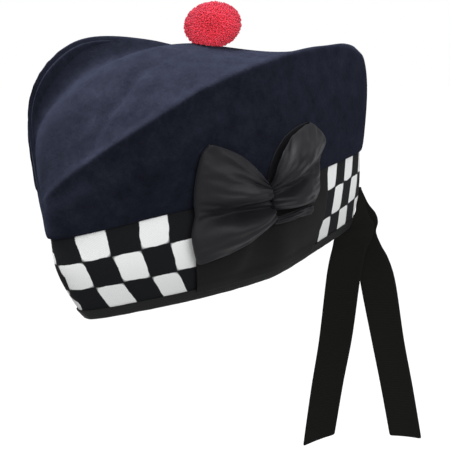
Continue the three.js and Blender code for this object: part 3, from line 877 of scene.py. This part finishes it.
# distance from the gather and height off the cap along one pleat: out over the top, round the fold and
# back under
def pleatPath(run, reach, puff, settings):
    clear, gather = settings["clear"], settings["gather"]
    topEnd, foldEnd = settings["topEnd"], settings["foldEnd"]

    def topLift(part):
        place = settings["puffFrom"] + settings["puffRun"] * part ** settings["puffLean"]
        return clear + settings["base"] + puff * math.sin(math.pi * place)

    foldRadius = (topLift(1) - clear) / 2
    if run < topEnd:
        part = run / topEnd
        return gather + (reach - foldRadius - gather) * part, topLift(part)
    if run < foldEnd:
        turn = math.pi * (0.5 - (run - topEnd) / (foldEnd - topEnd))
        return reach - foldRadius * (1 - math.cos(turn)), clear + foldRadius * (1 + math.sin(turn))
    part = 1 - (run - foldEnd) / (1 - foldEnd)
    return gather + (reach - foldRadius - gather) * part, clear


# height of the wrinkles at an angle and a distance from the gather
def wrinkleAt(turned, far, settings):
    crease, crumple = settings["crease"], settings["crumple"]
    line = noise.noise(Vector((turned / crease["size"][0], far / crease["size"][1], crease["slice"])))
    soft = noise.noise(Vector((turned / crumple["size"][0], far / crumple["size"][1], crumple["slice"])))
    height = crease["level"] - crease["depth"] * abs(line) + crumple["share"] * soft
    return height * settings["wrinkle"] * ease(*settings["wrinkleFrom"], far)


def addLoop(bm, loop, settings):
    grid = clothGrid(settings, settings["cloth"])
    angleAt, turnAt = column(loop["pleats"], "angle"), column(loop["pleats"], "turn")
    reachAt, puffAt = column(loop["pleats"], "reach"), column(loop["pleats"], "puff")
    pinchAt = column(loop["pleats"], "pinch")
    for v in grid.verts:
        across, run = v.co.x + 0.5, v.co.y + 0.5
        reach = reachAt(across)
        far, lift = pleatPath(run, reach, puffAt(across), settings)
        turned = angleAt(across) + turnAt(across) * math.sin(math.pi / 2 * (1 - min(1.0, far / reach)))
        angle = math.radians(turned)
        nearGather = math.exp(-far / settings["pleatFade"])
        fine = math.cos(2 * math.pi * loop["fine"] * across) * settings["pleatDepth"] * nearGather
        fine += wrinkleAt(turned, far, settings)
        lift += fine * (1 if run < 0.5 else settings["underShare"])
        back = -bowMiddle["along"] - far * math.cos(angle)
        rise = bowMiddle["rise"] + far * math.sin(angle)
        rise += pinchAt(across) * max(0.0, 1 - far / reach) ** settings["pinchFade"]
        v.co = inWorld(leftFace(back, rise) + max(lift, settings["leastLift"]), back, rise)
    joinInto(bm, grid)


bowMesh = bmesh.new()
for loopName, loop in bowSettings["loops"].items():
    addLoop(bowMesh, loop, bowSettings)
    print("bow loop folded:", loopName)
bowPiece = addPiece("ribbonBow", bowMesh, bowSkin, "bow_ribbon", "bow")
addThickness(bowPiece, bowSettings)


# tails: each row is the middle of the ribbon, its width and how much higher its back edge is, from the
# gathered top to the cut end
tailSettings = {
    "grid": (8, 90),
    "levels": 1,
    "turn": 30,  # the tails face this far round from the left side
    "thickness": 0.7,
    "loose": (0.4, 0.8),  # shares of the length over which the ribbon gets loose
    "curl": 1.6,
    "curlBack": 0.6,  # the middle curls the other way by this much
    "ripple": 0.8,
    "rippleAlong": 9,
    "rippleAcross": 2.2,
    "slantFade": 6,
    "left": {
        "rows": [
            {"left": -1.6, "back": 133.6, "up": 56.5, "width": 3.4, "tilt": 0},
            {"left": 1.8, "back": 135.3, "up": 42.6, "width": 10.6, "tilt": 0},
            {"left": 3.6, "back": 138, "up": 33.8, "width": 18, "tilt": 0},
            {"left": 4.2, "back": 139, "up": 25.7, "width": 20.5, "tilt": 0},
            {"left": 2.8, "back": 140.5, "up": 16.3, "width": 17.5, "tilt": 0},
            {"left": 4.2, "back": 143, "up": 4.5, "width": 21.6, "tilt": 0},
            {"left": 6.7, "back": 146, "up": -8.1, "width": 28, "tilt": 0},
            {"left": 10.8, "back": 149, "up": -29.7, "width": 32, "tilt": 0},
            {"left": 17.7, "back": 156.5, "up": -80.6, "width": 30, "tilt": 0},
            {"left": 25.5, "back": 163, "up": -125.3, "width": 30, "tilt": 0},
            {"left": 33.3, "back": 169.5, "up": -173.5, "width": 30, "tilt": 0},
        ],
        "slant": -4,  # how much higher the cut end is at the back edge
        "flat": (0.030, 0.245),
        "node": "tail_left",
    },
    "right": {
        "rows": [
            {"left": 0.4, "back": 132.9, "up": 57, "width": 2.6, "tilt": 0},
            {"left": 5.4, "back": 131.2, "up": 43.5, "width": 6.7, "tilt": 0},
            {"left": 9.4, "back": 128.2, "up": 32.4, "width": 14, "tilt": 0},
            {"left": 11.8, "back": 124.4, "up": 23.4, "width": 26, "tilt": 5.0},
            {"left": 12.6, "back": 118, "up": 17, "width": 31, "tilt": -5.6},
            {"left": 10.2, "back": 115.5, "up": 6, "width": 30, "tilt": 0},
            {"left": 9, "back": 113, "up": -7.3, "width": 30, "tilt": 0},
            {"left": 6.6, "back": 112, "up": -26, "width": 30, "tilt": 0},
            {"left": -0.9, "back": 112, "up": -78.5, "width": 30, "tilt": 0},
            {"left": -10.9, "back": 111.7, "up": -128, "width": 30, "tilt": 0},
            {"left": -20.3, "back": 111, "up": -185.5, "width": 30, "tilt": 0},
        ],
        "slant": 11.5,
        "flat": (0.030, 0.26),
        "node": "tail_right",
    },
}


def addTail(name, tail, settings):
    bm = clothGrid(settings, tail["flat"])
    turn = math.radians(settings["turn"])
    across = Vector((math.sin(turn), math.cos(turn), 0))
    facing = Vector((math.cos(turn), -math.sin(turn), 0))
    leftAt, backAt = column(tail["rows"], "left"), column(tail["rows"], "back")
    upAt, widthAt = column(tail["rows"], "up"), column(tail["rows"], "width")
    tiltAt = column(tail["rows"], "tilt")
    for v in bm.verts:
        side, place = v.co.x, 0.5 - v.co.y
        middle = Vector((leftAt(place), backAt(place), upAt(place)))
        spot = middle + across * side * widthAt(place)
        spot.z += tiltAt(place) * side
        spot.z += tail["slant"] * side * place ** settings["slantFade"]
        loose = ease(*settings["loose"], place)
        curl = loose * (settings["curl"] * (2 * side) ** 2 - settings["curlBack"])
        wave = math.sin(settings["rippleAlong"] * place + settings["rippleAcross"] * side)
        ripple = loose * settings["ripple"] * wave
        v.co = (spot + facing * (curl + ripple)) * mm
    bmesh.ops.recalc_face_normals(bm, faces=bm.faces)
    piece = addPiece(name, bm, tailSkin, "tail_ribbon", tail["node"])
    addThickness(piece, settings)


addTail("tailLeft", tailSettings["left"], tailSettings)
addTail("tailRight", tailSettings["right"], tailSettings)
print("tails hung")


# toorie: a soft head under thousands of cut yarn ends
toorieSettings = {
    "along": -22.6,
    "left": -2,
    "rise": 188.5,
    "radius": 21.5,
    "height": 34,
    "headShare": 0.8,  # radius of the head under the yarn
    "headDetail": 4,
    # the head and the strand roots take the darker root colour, painted shade under the yarn ends
    "headTip": 0.15,  # colour from root, 0, to tip, 1
    "rootTip": 0.1,
    "groups": 60,
    "strandsPerGroup": 60,
    "strandRadius": 0.75,
    "strandSpread": (0.75, 1.2),
    "strandTaper": 0.75,
    "strandSides": 5,
    "strandLength": 0.3,
    "strandEnds": (0.93, 1.03),
    "jitter": 0.10,
    "seed": 7,
}


# one yarn end, cut at about the toorie's radius
def addStrand(bm, tip, way, draw, settings):
    radius = settings["radius"] * mm
    jitter = Vector((draw.gauss(0, 1), draw.gauss(0, 1), draw.gauss(0, 1))) * settings["jitter"]
    top = draw.uniform(*settings["strandEnds"]) * radius
    thick = settings["strandRadius"] * draw.uniform(*settings["strandSpread"]) * mm
    length = settings["strandLength"] * radius
    middle = top - length / 2
    lean = (way + jitter).normalized().to_track_quat("Z", "Y").to_matrix().to_4x4()
    strand = bmesh.ops.create_cone(
        bm,
        cap_ends=True,
        segments=settings["strandSides"],
        radius1=thick,
        radius2=thick * settings["strandTaper"],
        depth=length,
        matrix=Matrix.Translation(way * middle) @ lean,
    )
    for v in strand["verts"]:
        v[tip] = 1.0 if v.co.length > middle else settings["rootTip"]


def addToorie(settings):
    draw = random.Random(settings["seed"])
    squash = settings["height"] / (2 * settings["radius"])
    middle = inWorld(settings["left"], -settings["along"], settings["rise"])
    headRadius = settings["radius"] * mm * settings["headShare"]
    bm = bmesh.new()
    bmesh.ops.create_icosphere(bm, subdivisions=settings["headDetail"], radius=headRadius)
    tip = bm.verts.layers.float.new("tip")
    for v in bm.verts:
        v[tip] = settings["headTip"]
    count = settings["groups"] * settings["strandsPerGroup"]
    golden = math.pi * (3 - math.sqrt(5))
    # a mesh for each group of strands, because adding to a large one is slow
    for group in range(settings["groups"]):
        tuft = bmesh.new()
        tuftTip = tuft.verts.layers.float.new("tip")
        for k in range(settings["strandsPerGroup"]):
            index = group * settings["strandsPerGroup"] + k
            height = 1 - 2 * (index + 0.5) / count
            ring = math.sqrt(1 - height * height)
            turn = index * golden
            way = Vector((math.cos(turn) * ring, math.sin(turn) * ring, height))
            addStrand(tuft, tuftTip, way, draw, settings)
        joinInto(bm, tuft)
    bmesh.ops.scale(bm, vec=(1, 1, squash), verts=bm.verts)
    bmesh.ops.transform(bm, matrix=Matrix.Translation(middle) @ capTurn, verts=bm.verts)
    addPiece("yarnToorie", bm, yarnSkin, "toorie_yarn", "toorie")


addToorie(toorieSettings)
print("toorie tufted")


# floor and soft studio light: a bright dome overhead, little light from below
studio = {
    "floor": -0.46,
    "floorSize": 40,
    "paper": {"Base Color": (0.98, 0.98, 0.98, 1), "Roughness": 0.9, "Specular IOR Level": 0.0},
    # height and share of the dome's light
    "dome": [(0.0, 0.20), (0.46, 0.26), (0.55, 0.32), (0.70, 0.55), (0.85, 0.9), (1.0, 1.2)],
    "domeLight": 1.28,
    "domeLean": (0.0, -0.30, 0.95),  # the bright part of the dome leans to the front
    # a light that names pieces shines onto them only; if it is alone, nothing else shades them
    "lights": [
        {
            "name": "keyLight",
            "at": (1.15, -0.05, 0.55),
            "size": 0.7,
            "power": 8.5,
            "onto": (),
            "alone": False,
        },
        {
            "name": "topLight",
            "at": (-0.16, -0.44, 1.22),
            "size": 0.6,
            "power": 46,
            "onto": (
                "woolCrown",
                "dicedBand",
                "rimBinding",
                "bowBacking",
                "ribbonBow",
                "tailLeft",
                "tailRight",
            ),
            "alone": False,
        },
        {
            "name": "toorieLight",
            "at": (0.78, -0.47, -0.10),
            "size": 0.7,
            "power": 14,
            "onto": ("yarnToorie",),
            "alone": True,
        },
    ],
}


def addSky(settings):
    world = bpy.data.worlds.new("studioSky")
    world.use_nodes = True
    tree = world.node_tree
    way = addNode(tree, "ShaderNodeTexCoord").outputs["Generated"]
    height = toShare(tree, addVector(tree, "DOT_PRODUCT", {0: way, 1: settings["domeLean"]}, "Value"))
    dome = addRamp(tree, height, [(place, (share,) * 3) for place, share in settings["dome"]])
    soft = tree.nodes["Background"]
    tree.links.new(dome, soft.inputs["Color"])
    soft.inputs["Strength"].default_value = settings["domeLight"]
    paper = addNode(tree, "ShaderNodeBackground", {"Color": (1, 1, 1, 1), "Strength": 1.0})
    seen = addNode(tree, "ShaderNodeLightPath").outputs["Is Camera Ray"]
    both = addNode(tree, "ShaderNodeMixShader", {0: seen, 1: soft.outputs[0], 2: paper.outputs[0]})
    tree.links.new(both.outputs[0], tree.nodes["World Output"].inputs["Surface"])
    scene.world = world


def addFloor(settings):
    bm = bmesh.new()
    bmesh.ops.create_grid(bm, x_segments=1, y_segments=1, size=settings["floorSize"])
    mesh = bpy.data.meshes.new("studioFloor")
    bm.to_mesh(mesh)
    bm.free()
    floor = bpy.data.objects.new("studioFloor", mesh)
    floor.location.z = settings["floor"]
    floor.visible_diffuse = False  # the paper lights nothing from below
    scene.collection.objects.link(floor)
    material, _, skin = newMaterial("palePaper")
    setSockets(skin, settings["paper"])
    mesh.materials.append(material)


def addStudio(settings):
    addSky(settings)
    addFloor(settings)
    for light in settings["lights"]:
        data = bpy.data.lights.new(light["name"], "AREA")
        data.energy = light["power"]
        data.size = light["size"]
        lamp = bpy.data.objects.new(light["name"], data)
        lamp.location = light["at"]
        lamp.rotation_euler = (-Vector(light["at"])).to_track_quat("-Z", "Y").to_euler()
        scene.collection.objects.link(lamp)
        if light["onto"]:
            lit = bpy.data.collections.new(light["name"] + "Pieces")
            for name in light["onto"]:
                lit.objects.link(bpy.data.objects[name])
            lamp.light_linking.receiver_collection = lit
            if light["alone"]:
                lamp.light_linking.blocker_collection = lit


addStudio(studio)
print("studio lit")
